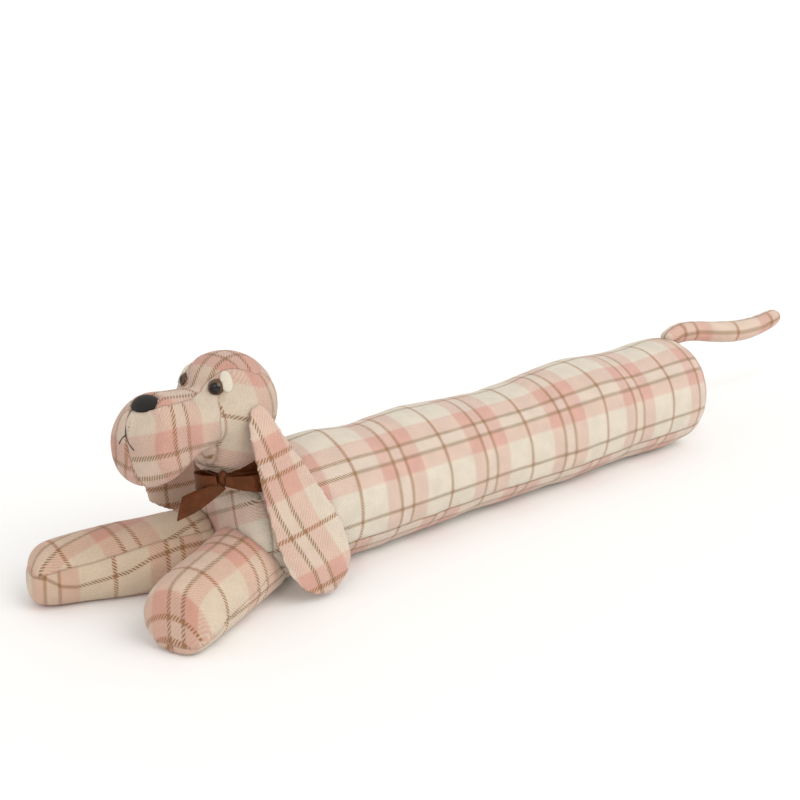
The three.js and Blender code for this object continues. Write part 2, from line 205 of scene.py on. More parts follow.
# A leg's line from root to toe, seen from above, its radius, its cloth and its side seam's height.
LEFT_LEG = {
    "root": (-340, -12), "toe": (-497, -91), "radius": 39.5, "middle": 36,
    "single": 140, "slope": 0.0, "pair_angle": 82, "toe_depth": 30,
    "seam": ((0, 40), (64, 40), (88, 35), (120, 32), (148, 22), (176, 10)),
    "low_single": 138, "low_line": ((0, -6), (140, -8), (176, -14)),
}
RIGHT_LEG = {
    "root": (-366, 27), "toe": (-563, 91.5), "radius": 37, "middle": 34,
    "single": 158, "slope": 0.4, "pair_angle": 0, "toe_depth": 36,
    "seam": ((0, 66), (70, 62), (91, 59), (125, 53.5), (143, 50), (166, 48), (190, 43), (207, 38)),
    "low_single": 121.5,
    "low_line": ((0, 22), (56, 18.7), (84, 13.5), (108, 3.5), (137, -1.9), (160, -6.6), (175, -3),
                 (189, 7)),
}
TOE_REACH = 0.62


def leg_cloth(leg):
    """An upper and a lower panel, sewn along both sides and round the toe."""
    root = np.array(leg["root"], float)
    ahead = np.array(leg["toe"], float) - root
    long = np.linalg.norm(ahead)
    ahead = ahead / long
    aside = np.array((-ahead[1], ahead[0]))

    def cloth(points, _):
        along = (points[:, :2] - root) @ ahead
        across = (points[:, :2] - root) @ aside
        height = points[:, 2] - leg["middle"]
        over_equator = np.sqrt(np.clip(leg["radius"] ** 2 - across ** 2, 0, None))
        toe_angle = np.arccos(np.clip(across / leg["radius"], -1, 1))
        angle = np.arctan2(height, across)
        toe = blend_step(along, long - leg["toe_depth"] - 8, long - leg["toe_depth"] + 10)
        around = leg["radius"] * ((1 - toe) * angle + toe * toe_angle)
        reach = along + TOE_REACH * toe * np.clip(over_equator - height, 0, None)
        below_angle = np.where(angle > 2.2, angle - 2 * math.pi, angle)
        toe_below = np.arcsin(np.clip(height / leg["radius"], -1, 1))
        around_below = leg["radius"] * np.where(below_angle < -1.57, below_angle,
                                                (1 - toe) * below_angle + toe * toe_below)
        side_reach = np.sqrt(np.clip(leg["radius"] ** 2 - height ** 2, 0, None))
        reach_below = along + TOE_REACH * toe * np.clip(side_reach - across, 0, None)
        tilt = 1 / math.hypot(1, leg["slope"])
        upper = ((leg["single"] - (reach - leg["slope"] * around)) * tilt,
                 (around + leg["slope"] * reach) * tilt - leg["upper_shift"])
        line_at, line_around = np.array(leg["low_line"], float).T
        lower = (leg["low_single"] - reach_below,
                 around_below - np.interp(along, line_at, line_around))
        seam_at, seam_height = np.array(leg["seam"], float).T
        below = np.interp(along, seam_at, seam_height) - points[:, 2]
        return [upper, lower], [below]

    return cloth


LEFT_LEG["upper_shift"] = LEFT_LEG["radius"] * math.radians(LEFT_LEG["pair_angle"]) - PAIR_MIDDLE
RIGHT_LEG["upper_shift"] = 112 - PAIR_MIDDLE

TAIL_LINE = np.array((
    (312, 0, 134), (334, -1, 143), (366, -5, 143), (402, -12, 137), (444, -19, 132),
    (484, -23, 133), (527, -26, 142),
), float)
TAIL_STRETCH = 1.3
TAIL_RADIUS = 10.5
TAIL_TOP = math.radians(50)
TAIL_BACK = math.radians(25)
TAIL_HALF = math.radians(118)


def tail_cloth(points, _):
    """One sheet round the tail, and a narrow strip of it turned in at the seam on the far side."""
    steps = np.linalg.norm(np.diff(TAIL_LINE, axis=0), axis=1)
    path = np.concatenate(([0], np.cumsum(steps)))
    x, y, z = points.T
    along = np.interp(x, TAIL_LINE[:, 0], path)
    middle_y = np.interp(x, TAIL_LINE[:, 0], TAIL_LINE[:, 1])
    middle_z = np.interp(x, TAIL_LINE[:, 0], TAIL_LINE[:, 2])
    angle = np.arctan2(z - middle_z, middle_y - y)
    around = TAIL_RADIUS * (angle - TAIL_TOP)
    near = TAIL_RADIUS * (TAIL_HALF - np.abs(angle + TAIL_BACK))
    sheet = ((along - 40) / TAIL_STRETCH + PAIR_MIDDLE, around + PAIR_MIDDLE)
    turned_in = (along + 20, around + 5)
    return [sheet, turned_in], [-near]


def ear_frame(root, tip):
    """An ear's root, its direction down to the tip, and the direction across it."""
    root = np.array(root, float)
    down = np.array(tip, float) - root
    down = down / np.linalg.norm(down)
    across = np.array((1.0, 0, 0)) - down[0] * down
    across = across / np.linalg.norm(across)
    return root, down, across


LEFT_EAR = {
    "frame": ear_frame((-367, -45, 217), (-307, -94, 6)), "out": -1,
    "stretch": 1.2, "single": 145, "tilt": 0.1,
    "pair": ((0, -24), (60, -24), (90, -25), (115, -24), (140, -20), (165, -14), (190, -9),
             (225, -8)),
}
RIGHT_EAR = {
    "frame": ear_frame((-386, 42, 211), (-394, 74, 67)), "out": 1,
    "stretch": 1.1, "single": 96, "tilt": -0.1,
    "pair": ((0, 20), (80, 24), (150, 30)),
}


def ear_cloth(ear):
    """Two layers sewn round their edge. The hidden layer is cut from another place of the cloth."""
    root, down, across = ear["frame"]
    out = np.cross(down, across)
    if out[1] * ear["out"] < 0:
        out = -out

    def cloth(points, normals):
        low = (points - root) @ down
        side = (points - root) @ across
        pair_at, pair_side = np.array(ear["pair"], float).T
        front = ((low - ear["tilt"] * side - ear["single"]) / ear["stretch"],
                 side - np.interp(low, pair_at, pair_side) + PAIR_MIDDLE)
        back = ((low - ear["single"] + 30) / ear["stretch"], side + 12)
        return [front, back], [-4.0 * (normals @ out) - 0.6]

    return cloth


# Half the gusset's width along the head, and how far forward the cheek's seam lies at each height.
GUSSET_HALF = np.array((
    (-60, 22), (-30, 34), (-10.8, 38), (3.7, 32.2), (14.1, 24.8), (24, 19.4), (31.3, 14.1),
    (37, 10.5), (46.6, 13.4), (60, 19.7), (74.6, 21.7), (91.4, 23.5), (102.4, 19.5), (108, 10),
    (112, -4),
), float)
CHEEK_FROM = np.array((
    (-60, 34), (-45, 34), (-32, 36), (-20, 42), (-5, 46), (3, 45), (12, 40), (19, 35), (26, 31),
    (45, 32),
), float)
SKULL_RADIUS = 50


def head_cloth(points, _):
    """Two muzzle sides, two cheeks and the gusset that runs from the nose over the skull."""
    local = (points - HEAD_MIDDLE) @ HEAD_AXES
    forward, left, up = -local[:, 0], -local[:, 1], local[:, 2]
    off_side = np.clip(36 - np.abs(left), 0, None)
    front = off_side * blend_step(forward, 104, 118)
    reach = forward + 0.011 * (up + 6) ** 2 + 0.9 * front
    sag = 0.18 * front + 0.18 * np.clip(95 - forward, 0, 60)
    level = np.interp(up + sag, (-60, -31, -10.5, 10, 40), (-32, -8, 8, 28, 57))
    near_muzzle = (reach - 97.5 + PAIR_MIDDLE, level + PAIR_MIDDLE)
    far_muzzle = (reach - 150 + PAIR_MIDDLE, level + 8 + PAIR_MIDDLE)
    turn = SKULL_RADIUS * np.arctan2(-forward, np.abs(left) + 1e-6)
    back = np.where(forward > 0, forward, -turn)
    cheek = (back - 38, up - 0.4 * (np.clip(forward, -10, 60) - 24))
    skull_turn = SKULL_RADIUS * np.arctan2(5 - forward, up)
    over_top = np.where(forward > 5, 5 - forward + 0.5 * (up - 55), skull_turn)
    gusset = (over_top + 57, left - 7 + PAIR_MIDDLE)
    front_seam = np.interp(up, (-40, -20, 0, 20, 40), (3, 2, -2, -7, -8))
    far_edge = front_seam - left
    cheek_edge = np.interp(up, CHEEK_FROM[:, 0], CHEEK_FROM[:, 1]) - forward
    gusset_edge = np.interp(forward, GUSSET_HALF[:, 0], GUSSET_HALF[:, 1]) - np.abs(left)
    gusset_edge = np.minimum(gusset_edge, np.where(forward > 60, up - 14, up + 30))
    return [near_muzzle, far_muzzle, cheek, gusset], [far_edge, cheek_edge, gusset_edge]


def seam_distance(edges):
    """How far each point is from the nearest seam that shows."""
    nearest = np.full(len(edges[0]), 1000.0)
    for edge in edges:
        nearest = np.where(edge > 0, np.abs(edge), np.minimum(nearest, np.abs(edge)))
    return nearest


# The filling's pressure and frames, and how near the floor a point is held down.
PRESSURE = 4
FILLING_FRAMES = 20
ON_FLOOR = 1.0


def plump(piece, cloth, cap, voxel):
    """Pressure swells the panels between their seams, which stay in place. The cap is the most."""
    start = points_of(piece.data)
    _, edges = cloth(start, normals_of(piece.data))
    held = np.clip(1.6 - seam_distance(edges) / voxel, 0, 1)
    held[start[:, 2] < ON_FLOOR] = 1
    group = piece.vertex_groups.new(name="held")
    for index in np.nonzero(held > 0)[0]:
        group.add([int(index)], float(held[index]), "REPLACE")
    modifier = piece.modifiers.new("filling", "CLOTH")
    settings = modifier.settings
    settings.use_pressure = True
    settings.uniform_pressure_force = PRESSURE
    settings.effector_weights.gravity = 0
    settings.vertex_group_mass = "held"
    settings.pin_stiffness = 1
    settings.quality = 5
    modifier.collision_settings.use_collision = False
    modifier.point_cache.frame_start = 1
    modifier.point_cache.frame_end = FILLING_FRAMES
    for number in range(1, FILLING_FRAMES + 1):
        bpy.context.scene.frame_set(number)
    graph = bpy.context.evaluated_depsgraph_get()
    swollen = points_of(piece.evaluated_get(graph).data)
    piece.modifiers.clear()
    piece.vertex_groups.clear()
    bpy.context.scene.frame_set(1)
    move = swollen - start
    far = np.linalg.norm(move, axis=1)
    return start + move * np.minimum(1, cap / np.maximum(far, 1e-6))[:, None]


def wrinkles(points, size, seed):
    """Soft unevenness of the filling, from -1 to 1."""
    shift = Vector((seed * 7.3, seed * 3.1, seed * 5.7))
    return np.array([noise.noise(Vector(p) / size + shift) for p in points])


# How far the puckers reach from a seam, their size, a seam's half width, and the filling's lumps.
PUCKER_REACH = 7
PUCKER_SIZE = 5.5
GROOVE_HALF = 2.2
LUMP_SIZE = 34
WAVE_SIZE = 80


def sewn_surface(piece, cloth, look, seed):
    """Draws the seams in and puckers the cloth beside them."""
    points = points_of(piece.data)
    normals = normals_of(piece.data)
    _, edges = cloth(points, normals)
    away = seam_distance(edges)
    pucker = np.exp(-away / PUCKER_REACH) * wrinkles(points, PUCKER_SIZE, seed + 1)
    lumps = wrinkles(points, LUMP_SIZE, seed) * look["lumps"]
    soft = lumps + wrinkles(points, WAVE_SIZE, seed + 4) * look["waves"]
    groove = np.exp(-((away / GROOVE_HALF) ** 2))
    depth = -look["groove"] * groove + look["pucker"] * pucker + soft
    depth[points[:, 2] < 1.5] = 0
    points = points + normals * depth[:, None]
    points[:, 2] = np.maximum(points[:, 2], 0)
    set_points(piece.data, points)


def write_cloth(piece, cloth):
    """Stores where each point lies on each panel's cloth, and how far inside each panel it is."""
    panels, edges = cloth(points_of(piece.data), normals_of(piece.data))
    for number, (length, around) in enumerate(panels):
        values = np.zeros((len(length), 3), np.float32)
        values[:, 0] = length
        values[:, 1] = around
        attribute = piece.data.attributes.new(f"weave_{number}", "FLOAT_VECTOR", "POINT")
        attribute.data.foreach_set("vector", values.ravel())
    for number, edge in enumerate(edges):
        attribute = piece.data.attributes.new(f"edge_{number + 1}", "FLOAT", "POINT")
        attribute.data.foreach_set("value", edge.astype(np.float32))


def stuffed(node, name, cloth, look, seed):
    """A stuffed cover over the node: a little smaller at first, then filled, grown and sewn."""
    piece = link(name, merged_copy(node))
    remesh(piece, look["voxel"])
    relax(piece, look["relax"])
    start = points_of(piece.data)
    inset = start - normals_of(piece.data) * look["inset"]
    inset[:, 2] = np.where(start[:, 2] < ON_FLOOR, start[:, 2], inset[:, 2])
    set_points(piece.data, inset)
    filled = plump(piece, cloth, look["cap"], look["voxel"])
    normals = normals_of(piece.data)
    normals[filled[:, 2] < 2] *= (1, 1, 0)
    full = look["fullness"]
    if "full_from" in look:
        full = full * blend_step(filled[:, :1], *look["full_from"])
    filled = filled + normals * full
    if "hang" in look:
        low = np.clip((170 - filled[:, 2:]) / 100, 0, 1)
        filled = filled + low * look["hang"]
    set_points(piece.data, filled)
    relax(piece, 1)
    subdivide(piece)
    sewn_surface(piece, cloth, look, seed)
    write_cloth(piece, cloth)
    shade_smooth(piece)
    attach(piece, "root")
    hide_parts(node)
    return piece


# Helpers for materials


def new_group(name, inputs, outputs):
    group = bpy.data.node_groups.new(name, "ShaderNodeTree")
    for label, kind, value in inputs:
        socket = group.interface.new_socket(label, in_out="INPUT", socket_type=kind)
        if value is not None:
            socket.default_value = value
    for label, kind in outputs:
        group.interface.new_socket(label, in_out="OUTPUT", socket_type=kind)
    return group, group.nodes.new("NodeGroupInput"), group.nodes.new("NodeGroupOutput")


def connect(tree, source, target):
    """Links a socket, or sets a plain value."""
    if isinstance(source, bpy.types.NodeSocket):
        tree.links.new(source, target)
    else:
        target.default_value = source


def math_node(tree, operation, *values):
    node = tree.nodes.new("ShaderNodeMath")
    node.operation = operation
    for socket, value in zip(node.inputs, values):
        connect(tree, value, socket)
    return node.outputs[0]


def mix_colour(tree, factor, first, second, blend="MIX"):
    node = tree.nodes.new("ShaderNodeMix")
    node.data_type = "RGBA"
    node.blend_type = blend
    connect(tree, factor, node.inputs["Factor"])
    connect(tree, first, node.inputs[6])
    connect(tree, second, node.inputs[7])
    return node.outputs[2]


def mix_vector(tree, factor, first, second):
    node = tree.nodes.new("ShaderNodeMix")
    node.data_type = "VECTOR"
    connect(tree, factor, node.inputs["Factor"])
    connect(tree, first, node.inputs[4])
    connect(tree, second, node.inputs[5])
    return node.outputs[1]


def map_range(tree, value, low, high, to_low=0.0, to_high=1.0):
    node = tree.nodes.new("ShaderNodeMapRange")
    node.interpolation_type = "SMOOTHSTEP"
    for socket, given in zip(node.inputs, (value, low, high, to_low, to_high)):
        connect(tree, given, socket)
    return node.outputs[0]


def noise_node(tree, place, scale, detail=3.0, roughness=0.55):
    node = tree.nodes.new("ShaderNodeTexNoise")
    connect(tree, place, node.inputs["Vector"])
    node.inputs["Scale"].default_value = scale
    node.inputs["Detail"].default_value = detail
    node.inputs["Roughness"].default_value = roughness
    return node.outputs[0]


def ramp_node(tree, place, stops):
    """A colour ramp over one repeat of the check. A stop is a place in millimetres and a colour."""
    node = tree.nodes.new("ShaderNodeValToRGB")
    ramp = node.color_ramp
    while len(ramp.elements) < len(stops):
        ramp.elements.new(1.0)
    for element, (position, colour) in zip(ramp.elements, stops):
        element.position = position / REPEAT
        element.color = (*colour, 1)
    share = math_node(tree, "FRACT", math_node(tree, "DIVIDE", place, REPEAT))
    tree.links.new(share, node.inputs[0])
    return node.outputs[0]


def cloth_bands(tree, place):
    """Cream and pink bands, paler between the two lines. They blend over a thread or two."""
    stops = []
    for position, before, after in (
        (PINK_FROM, CREAM, PINK), (PAIR_NEAR, PINK, PALE_PINK),
        (PAIR_FAR, PALE_PINK, PINK), (PINK_TO, PINK, CREAM),
    ):
        stops += [(position - BAND_BLUR, before), (position + BAND_BLUR, after)]
    return ramp_node(tree, place, stops)


def brown_lines(tree, place):
    """White on the single line and on the pair, black elsewhere."""
    black = (0, 0, 0)
    white = (1, 1, 1)
    low = LINE_HALF - LINE_BLUR
    high = LINE_HALF + LINE_BLUR
    stops = [(0, white), (low, white), (high, black)]
    for position in (PAIR_NEAR, PAIR_FAR):
        stops += [(position - high, black), (position - low, white)]
        stops += [(position + low, white), (position + high, black)]
    stops += [(REPEAT - high, black), (REPEAT - low, white)]
    return ramp_node(tree, place, stops)


def check_group():
    """Brushed twill in a check with thin brown lines. Place is in millimetres on the cloth."""
    group, given, made = new_group(
        "brushed_check",
        (("Place", "NodeSocketVector", None), ("Nap", "NodeSocketFloat", 1.0),
         ("Tint", "NodeSocketColor", (1, 1, 1, 1))),
        (("Color", "NodeSocketColor"), ("Height", "NodeSocketFloat")),
    )
    wander = noise_node(group, given.outputs["Place"], 0.7, 3.0, 0.7)
    shake = math_node(group, "MULTIPLY", math_node(group, "SUBTRACT", wander, 0.5), 2.6)
    split = group.nodes.new("ShaderNodeSeparateXYZ")
    group.links.new(given.outputs["Place"], split.inputs[0])
    length = math_node(group, "ADD", split.outputs[0], shake)
    around = math_node(group, "SUBTRACT", split.outputs[1], shake)
    across = math_node(group, "ADD", split.outputs[0], split.outputs[1])
    slant = math_node(group, "ADD", across, shake)
    wave = math_node(group, "DIVIDE", math_node(group, "PINGPONG", slant, RIB / 2), RIB / 2)
    mixed = map_range(group, wave, 0.2, 0.8, 0.27, 0.73)
    cloth = mix_colour(group, mixed, cloth_bands(group, length), cloth_bands(group, around))
    under = map_range(group, wave, 0.75, 0.35)
    over = map_range(group, wave, 0.3, 0.7)
    rings = math_node(group, "MULTIPLY", brown_lines(group, length),
                      map_range(group, under, 0.0, 1.0, 0.08, 1.0))
    lengths = math_node(group, "MULTIPLY", brown_lines(group, around),
                        map_range(group, over, 0.0, 1.0, 0.15, 1.0))
    threads = mix_colour(group, lengths, cloth, (*LENGTH_BROWN, 1))
    threads = mix_colour(group, rings, threads, (*RING_BROWN, 1))
    fuzz = noise_node(group, given.outputs["Place"], 0.6, 6.0, 0.78)
    patch = noise_node(group, given.outputs["Place"], 0.045, 2.0)
    shade = math_node(group, "ADD", map_range(group, fuzz, 0.25, 0.75, 0.86, 1.08),
                      map_range(group, patch, 0.3, 0.7, -0.04, 0.04))
    grey = group.nodes.new("ShaderNodeCombineColor")
    for socket in grey.inputs:
        group.links.new(shade, socket)
    shaded = mix_colour(group, 1.0, threads, grey.outputs[0], "MULTIPLY")
    # Painted shade: the Tint darkens and warms the cloth of each piece that lies in shade.
    shade_tinted = mix_colour(group, 1.0, shaded, given.outputs["Tint"], "MULTIPLY")
    group.links.new(shade_tinted, made.inputs["Color"])
    ribs = math_node(group, "MULTIPLY", wave, 0.35)
    nap = math_node(group, "MULTIPLY", fuzz, given.outputs["Nap"])
    group.links.new(math_node(group, "ADD", ribs, nap), made.inputs["Height"])
    return group


def attribute(tree, name, vector):
    node = tree.nodes.new("ShaderNodeAttribute")
    node.attribute_name = name
    return node.outputs["Vector" if vector else "Fac"]


def bump(tree, height, distance):
    node = tree.nodes.new("ShaderNodeBump")
    node.inputs["Distance"].default_value = distance
    node.inputs["Strength"].default_value = 1.0
    tree.links.new(height, node.inputs["Height"])
    return node.outputs[0]


def new_material(name, roughness, sheen=0.0):
    material = bpy.data.materials.new(name)
    material.use_nodes = True
    shader = material.node_tree.nodes["Principled BSDF"]
    shader.inputs["Roughness"].default_value = roughness
    shader.inputs["Sheen Weight"].default_value = sheen
    shader.inputs["Sheen Roughness"].default_value = 0.5
    return material, material.node_tree, shader


# Added to a seam's distance where a later panel covers it.
COVERED = 100.0


def check_material(name, check, panels, nap, tint):
    material, tree, shader = new_material(name, 0.92, sheen=0.25)
    place = attribute(tree, "weave_0", True)
    seam = None
    for number in range(1, panels):
        edge = attribute(tree, f"edge_{number}", False)
        inside = math_node(tree, "GREATER_THAN", edge, 0.0)
        place = mix_vector(tree, inside, place, attribute(tree, f"weave_{number}", True))
        away = math_node(tree, "ABSOLUTE", edge)
        if seam is not None:
            covered = math_node(tree, "MULTIPLY", inside, COVERED)
            away = math_node(tree, "MINIMUM", away, math_node(tree, "ADD", seam, covered))
        seam = away
    node = tree.nodes.new("ShaderNodeGroup")
    node.node_tree = check
    node.inputs["Nap"].default_value = nap
    # The tint sets this piece's painted shade.
    node.inputs["Tint"].default_value = (*tint, 1)
    tree.links.new(place, node.inputs["Place"])
    # Painted shade: the cloth darkens towards warm brown, by up to 45 percent, in the seams'
    # grooves.
    seam_shade_share = map_range(tree, seam, 0.1, 1.4, 0.45, 0.0)
    shown = mix_colour(tree, seam_shade_share, node.outputs["Color"], (*SEAM_SHADE, 1))
    tree.links.new(shown, shader.inputs["Base Color"])
    sunk = map_range(tree, seam, 0.0, 2.0, -0.8, 0.0)
    height = math_node(tree, "ADD", node.outputs["Height"], sunk)
    tree.links.new(bump(tree, height, 0.0006 + 0.0004 * nap), shader.inputs["Normal"])
    return material


def object_place(tree):
    return tree.nodes.new("ShaderNodeTexCoord").outputs["Object"]


def pile_material(name, colour, dark, roughness, scale, depth, sheen):
    """Plain cloth or plush with a short nap."""
    material, tree, shader = new_material(name, roughness, sheen=sheen)
    place = object_place(tree)
    fuzz = noise_node(tree, place, scale, 4.0, 0.7)
    tint = mix_colour(tree, map_range(tree, fuzz, 0.3, 0.7), (*dark, 1), (*colour, 1))
    tree.links.new(tint, shader.inputs["Base Color"])
    tree.links.new(bump(tree, fuzz, depth), shader.inputs["Normal"])
    return material


def satin_material():
    """Satin ribbon: a close weave across its width and soft creases, with painted shade in the
    creases' hollows.
    """
    material, tree, shader = new_material("brown_satin", 0.42)
    shader.inputs["Specular Tint"].default_value = (1.0, 0.55, 0.35, 1)
    place = object_place(tree)
    crease = noise_node(tree, place, 90, 2.0)
    weave = noise_node(tree, place, 2500, 2.0)
    # Painted shade: the brown darkens to 0.62 of itself where the crease noise is low, in the
    # creases' hollows.
    dark = tuple(0.62 * c for c in SATIN_BROWN)
    tint = mix_colour(tree, map_range(tree, crease, 0.35, 0.7), (*dark, 1), (*SATIN_BROWN, 1))
    tree.links.new(tint, shader.inputs["Base Color"])
    height = math_node(tree, "ADD", math_node(tree, "MULTIPLY", crease, 4.0),
                       math_node(tree, "MULTIPLY", weave, 0.3))
    tree.links.new(bump(tree, height, 0.0004), shader.inputs["Normal"])
    tree.links.new(map_range(tree, weave, 0.3, 0.7, 0.32, 0.46), shader.inputs["Roughness"])
    return material


def eye_material():
    """A polished bead: black pupil, brown iris, darker again at its rim."""
    material, tree, shader = new_material("eye_bead", 0.08)
    away = attribute(tree, "from_pupil", False)
    fleck = noise_node(tree, object_place(tree), 1400, 3.0)
    iris = mix_colour(tree, map_range(tree, fleck, 0.3, 0.7), (*PUPIL_BLACK, 1), (*IRIS_BROWN, 1))
    ring = math_node(tree, "MULTIPLY", map_range(tree, away, 0.64, 0.72),
                     map_range(tree, away, 1.0, 0.93))
    tree.links.new(mix_colour(tree, ring, (*PUPIL_BLACK, 1), iris), shader.inputs["Base Color"])
    return material


# The face and the ribbon


def head_place(forward, left, up):
    """A point of the head's frame, in metres."""
    return Vector((HEAD_MIDDLE + HEAD_AXES @ np.array((-forward, -left, up))) * MM)


def flattened(points, height, above, below):
    """Points pressed flatter along the head's own upright, above and below the given height."""
    local = (points - HEAD_MIDDLE) @ HEAD_AXES
    rise = local[:, 2] - height
    local[:, 2] = height + rise * np.where(rise > 0, above, below)
    return local @ HEAD_AXES.T + HEAD_MIDDLE


def trim(node, name, look, material):
    """A small sewn-on piece, with its facets smoothed away."""
    piece = link(name, merged_copy(node))
    remesh(piece, look["voxel"])
    relax(piece, look["relax"])
    subdivide(piece)
    if "flat_from" in look:
        flat = (look["flat_from"], look["above"], look["below"])
        set_points(piece.data, flattened(points_of(piece.data), *flat))
    shade_smooth(piece)
    piece.data.materials.append(material)
    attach(piece, "root")
    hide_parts(node)


EYE_RADIUS = 8.2


def eye(node, name, side, sunk, material):
    """A domed bead that looks forward and outward. The far one is sewn on a little farther back."""
    low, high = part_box(node)
    middle = (Vector(low) + Vector(high)) / 2 + head_place(-sunk, 0, 0) - head_place(0, 0, 0)
    radius = EYE_RADIUS * MM
    looks = (head_place(0.80, side * 0.56, 0.12) - head_place(0, 0, 0)).normalized()
    bm = bmesh.new()
    bmesh.ops.create_uvsphere(bm, u_segments=48, v_segments=32, radius=radius)
    turn = Vector((0, 0, 1)).rotation_difference(looks).to_matrix().to_4x4()
    bmesh.ops.transform(bm, matrix=Matrix.Translation(middle) @ turn, verts=bm.verts)
    mesh = bpy.data.meshes.new(name)
    bm.to_mesh(mesh)
    bm.free()
    piece = link(name, mesh)
    centre = np.array(middle) / MM
    aside = points_of(mesh) - centre
    ahead = aside @ np.array(looks)
    away = np.linalg.norm(aside - ahead[:, None] * np.array(looks), axis=1) / EYE_RADIUS
    away[ahead < 0] = 1
    values = mesh.attributes.new("from_pupil", "FLOAT", "POINT")
    values.data.foreach_set("value", away.astype(np.float32))
    shade_smooth(piece)
    mesh.materials.append(material)
    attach(piece, "root")
    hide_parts(node)


# The stitched threads' points in the head's frame: forward, to the hound's left, and up.
MOUTH_LINES = {
    "mouth_thread_nose": ((113, -8, 24), (119, -7, 19), (123, -5, 13), (126, -3, 6)),
    "mouth_thread_left": ((126, -3, 6), (126, -6, 4), (125, -10, 0), (124, -12, -4)),
    "mouth_thread_right": ((126, -3, 6), (127, -1, 1), (127, 3, -3), (126, 8, -7)),
}
THREAD_RADIUS = 0.6


def mouth_thread(name, path, surface, material):
    """A thread stitched down on the muzzle."""
    curve = bpy.data.curves.new(name, "CURVE")
    curve.dimensions = "3D"
    curve.bevel_depth = THREAD_RADIUS * MM
    curve.bevel_resolution = 3
    curve.use_fill_caps = True
    curve.resolution_u = 8
    spline = curve.splines.new("NURBS")
    spline.points.add(len(path) - 1)
    for point, (forward, left, up) in zip(spline.points, path):
        onto, normal, _, _ = surface.find_nearest(head_place(forward, left, up))
        point.co = (*(onto + normal * 0.2 * MM), 1)
    spline.use_endpoint_u = True
    spline.order_u = 4
    piece = curve_to_mesh(name, curve)
    shade_smooth(piece)
    piece.data.materials.append(material)
    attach(piece, "root")


def curve_to_mesh(name, curve):
    """A piece with the curve's final mesh."""
    drawn = link(name + "_line", curve)
    graph = bpy.context.evaluated_depsgraph_get()
    mesh = bpy.data.meshes.new_from_object(drawn.evaluated_get(graph))
    bpy.data.objects.remove(drawn)
    return link(name, mesh)


# Each length of ribbon as it was cut, in metres, and the depth of its folds, in millimetres.
RIBBON = {
    "ribbon_band": {"flat": (0.020, 0.292), "held": "folded", "fold": 0.25},
    "ribbon_loop_front": {"flat": (0.020, 0.058), "held": "folded", "fold": 0.8},
    "ribbon_loop_back": {"flat": (0.020, 0.078), "held": "folded", "fold": 0.8},
    "ribbon_end_front": {"flat": (0.020, 0.050), "held": "hung", "fold": 0.9},
    "ribbon_end_back": {"flat": (0.018, 0.048), "held": "hung", "fold": 0.5},
}


def ribbon_piece(node, look, seed, material):
    """A length of ribbon with soft folds, which lift both of its faces together."""
    piece = link(node.replace("ribbon", "satin"), merged_copy(node))
    bm = bmesh.new()
    bm.from_mesh(piece.data)
    bmesh.ops.subdivide_edges(bm, edges=bm.edges, cuts=2, use_grid_fill=True)
    bm.to_mesh(piece.data)
    bm.free()
    points = points_of(piece.data)
    local = (points - HEAD_MIDDLE) @ HEAD_AXES
    out = local * (1, 1, 0)
    out[:, 0] += (local[:, 2] + 20) * NECK_LEAN
    out = out / np.linalg.norm(out, axis=1)[:, None]
    folds = np.sin(local[:, 2] * 0.75 + 3 * wrinkles(points, 14, seed))
    folds = folds * wrinkles(points, 9, seed + 2)
    set_points(piece.data, points + (out @ HEAD_AXES.T) * (look["fold"] * folds)[:, None])
    subdivide(piece)
    shade_smooth(piece)
    piece.data.materials.append(material)
    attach(piece, "root")
    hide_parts(node)


# The studio: pale floor, soft light and camera

FLOOR_WHITE = (0.95, 0.95, 0.945)
SKY_WHITE = (1, 0.98, 0.955)
SKY_STRENGTH = 0.75
# Each light's strength, its spread in degrees and its turn in degrees.
SUNS = {
    "key_light": (1.25, 45, (46, 0, 22)),
    "fill_light": (0.15, 90, (40, 0, -90)),
    "spark_light": (0.25, 6, (52, 0, -50)),
}


def floor():
    bm = bmesh.new()
    bmesh.ops.create_grid(bm, x_segments=4, y_segments=4, size=40)
    mesh = bpy.data.meshes.new("pale_floor")
    bm.to_mesh(mesh)
    bm.free()
    piece = link("pale_floor", mesh)
    material, _, shader = new_material("pale_floor", 0.9)
    shader.inputs["Base Color"].default_value = (*FLOOR_WHITE, 1)
    mesh.materials.append(material)


def lights():
    world = bpy.data.worlds.new("studio")
    world.use_nodes = True
    sky = world.node_tree.nodes["Background"]
    sky.inputs["Color"].default_value = (*SKY_WHITE, 1)
    sky.inputs["Strength"].default_value = SKY_STRENGTH
    bpy.context.scene.world = world
    for name, (strength, spread, turn) in SUNS.items():
        data = bpy.data.lights.new(name, "SUN")
        data.energy = strength
        data.angle = math.radians(spread)
        lamp = bpy.data.objects.new(name, data)
        lamp.rotation_euler = Euler([math.radians(a) for a in turn], "XYZ")
        bpy.context.scene.collection.objects.link(lamp)


def camera():
    data = bpy.data.cameras.new("camera")
    data.lens = CAMERA_LENS
    data.clip_end = 100
    viewer = bpy.data.objects.new("camera", data)
    viewer.location = CAMERA_PLACE
    aim = Vector(CAMERA_AIM) - Vector(CAMERA_PLACE)
    viewer.rotation_euler = aim.to_track_quat("-Z", "Y").to_euler()
    bpy.context.scene.collection.objects.link(viewer)
    bpy.context.scene.camera = viewer


